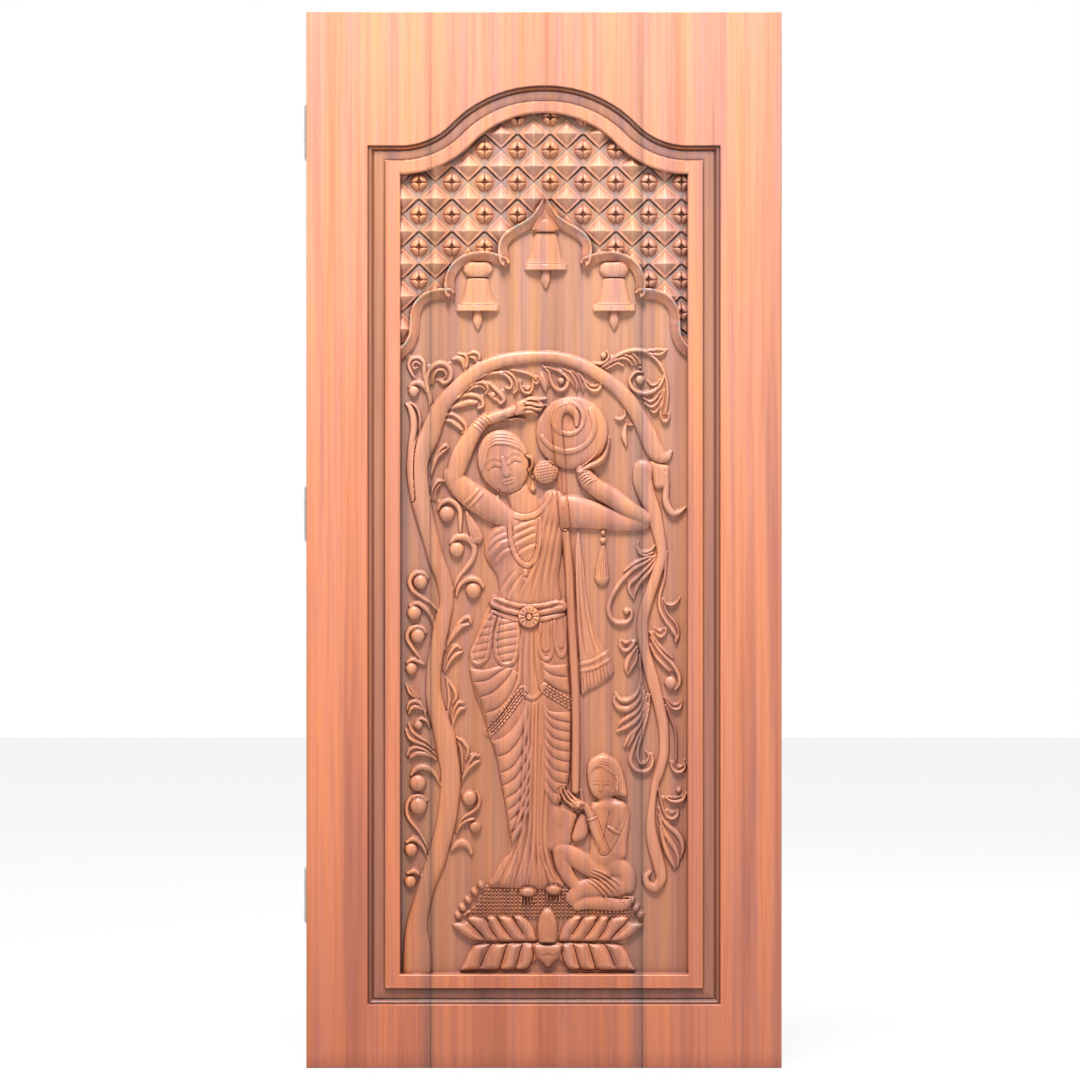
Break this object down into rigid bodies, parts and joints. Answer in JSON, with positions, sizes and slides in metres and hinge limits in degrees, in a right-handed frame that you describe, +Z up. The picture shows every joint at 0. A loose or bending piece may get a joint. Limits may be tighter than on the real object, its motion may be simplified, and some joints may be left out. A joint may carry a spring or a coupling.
{
  "type": "carved exterior door leaf",
  "caption": "Solid wood entrance door leaf of glued upright planks, its sunk ogee-headed panel carved with a water carrier, child, tree and lotus, hung on butt hinges.",
  "frame": {"origin": "middle of the leaf's bottom edge, half way through its thickness", "axes": "+Z up the leaf, -Y out of the carved front, +X from the hinge edge towards the closing edge"},
  "size_m": [0.9214, 0.0589, 2.032],
  "materials": {
    "wood": "sanded, thin satin oil",
    "tongue_wood": "planed, bare",
    "hinge_steel": "satin",
    "pin_steel": "satin"
  },
  "bodies": {
    "frame_side": {"top_frame_flap": "hinge_steel", "middle_frame_flap": "hinge_steel", "bottom_frame_flap": "hinge_steel", "top_pin": "pin_steel", "middle_pin": "pin_steel", "bottom_pin": "pin_steel"},
    "leaf": {"left_plank": "wood", "middle_plank": "wood", "right_plank": "wood", "left_tongue": "tongue_wood", "right_tongue": "tongue_wood", "top_leaf_flap": "hinge_steel", "middle_leaf_flap": "hinge_steel", "bottom_leaf_flap": "hinge_steel", "leaf_screws": "pin_steel"}
  },
  "joints": [
    {"name": "leaf_swing", "type": "hinge", "parent": "frame_side", "child": "leaf", "pos_m": [-0.4577, 0.0299, 1.0665], "axis": [0, 0, 1], "range_deg": [0, 110]}
  ]
}
